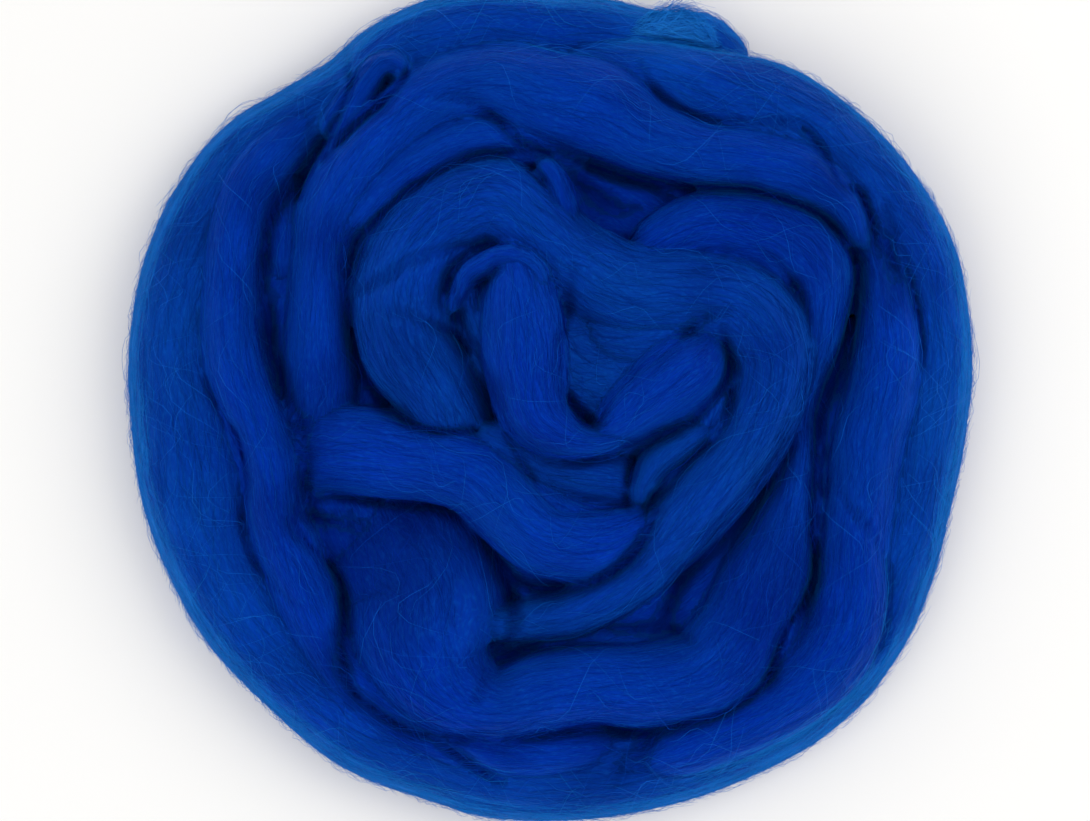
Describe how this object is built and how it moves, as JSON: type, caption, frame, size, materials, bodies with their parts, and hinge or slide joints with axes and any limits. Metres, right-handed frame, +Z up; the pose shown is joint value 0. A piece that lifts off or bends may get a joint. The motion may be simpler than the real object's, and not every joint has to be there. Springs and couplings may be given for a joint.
{
  "type": "wool roving",
  "caption": "Flat round nest of thick, soft wool roving, dyed royal blue, its turns heaped and folded over one another with a loose fuzzy end at the rim.",
  "frame": {"origin": "centre of the bounding box at the table, under the nest", "axes": "+Z up, out of the table; +X to the right and +Y away from the viewer, with the loose end at +X +Y"},
  "size_m": [0.2545, 0.2495, 0.0519],
  "materials": {
    "wool": "loose combed wool fibres, dyed royal blue, matt with a soft fuzzy edge"
  },
  "bodies": {
    "root": {"roving": "wool"}
  },
  "joints": []
}
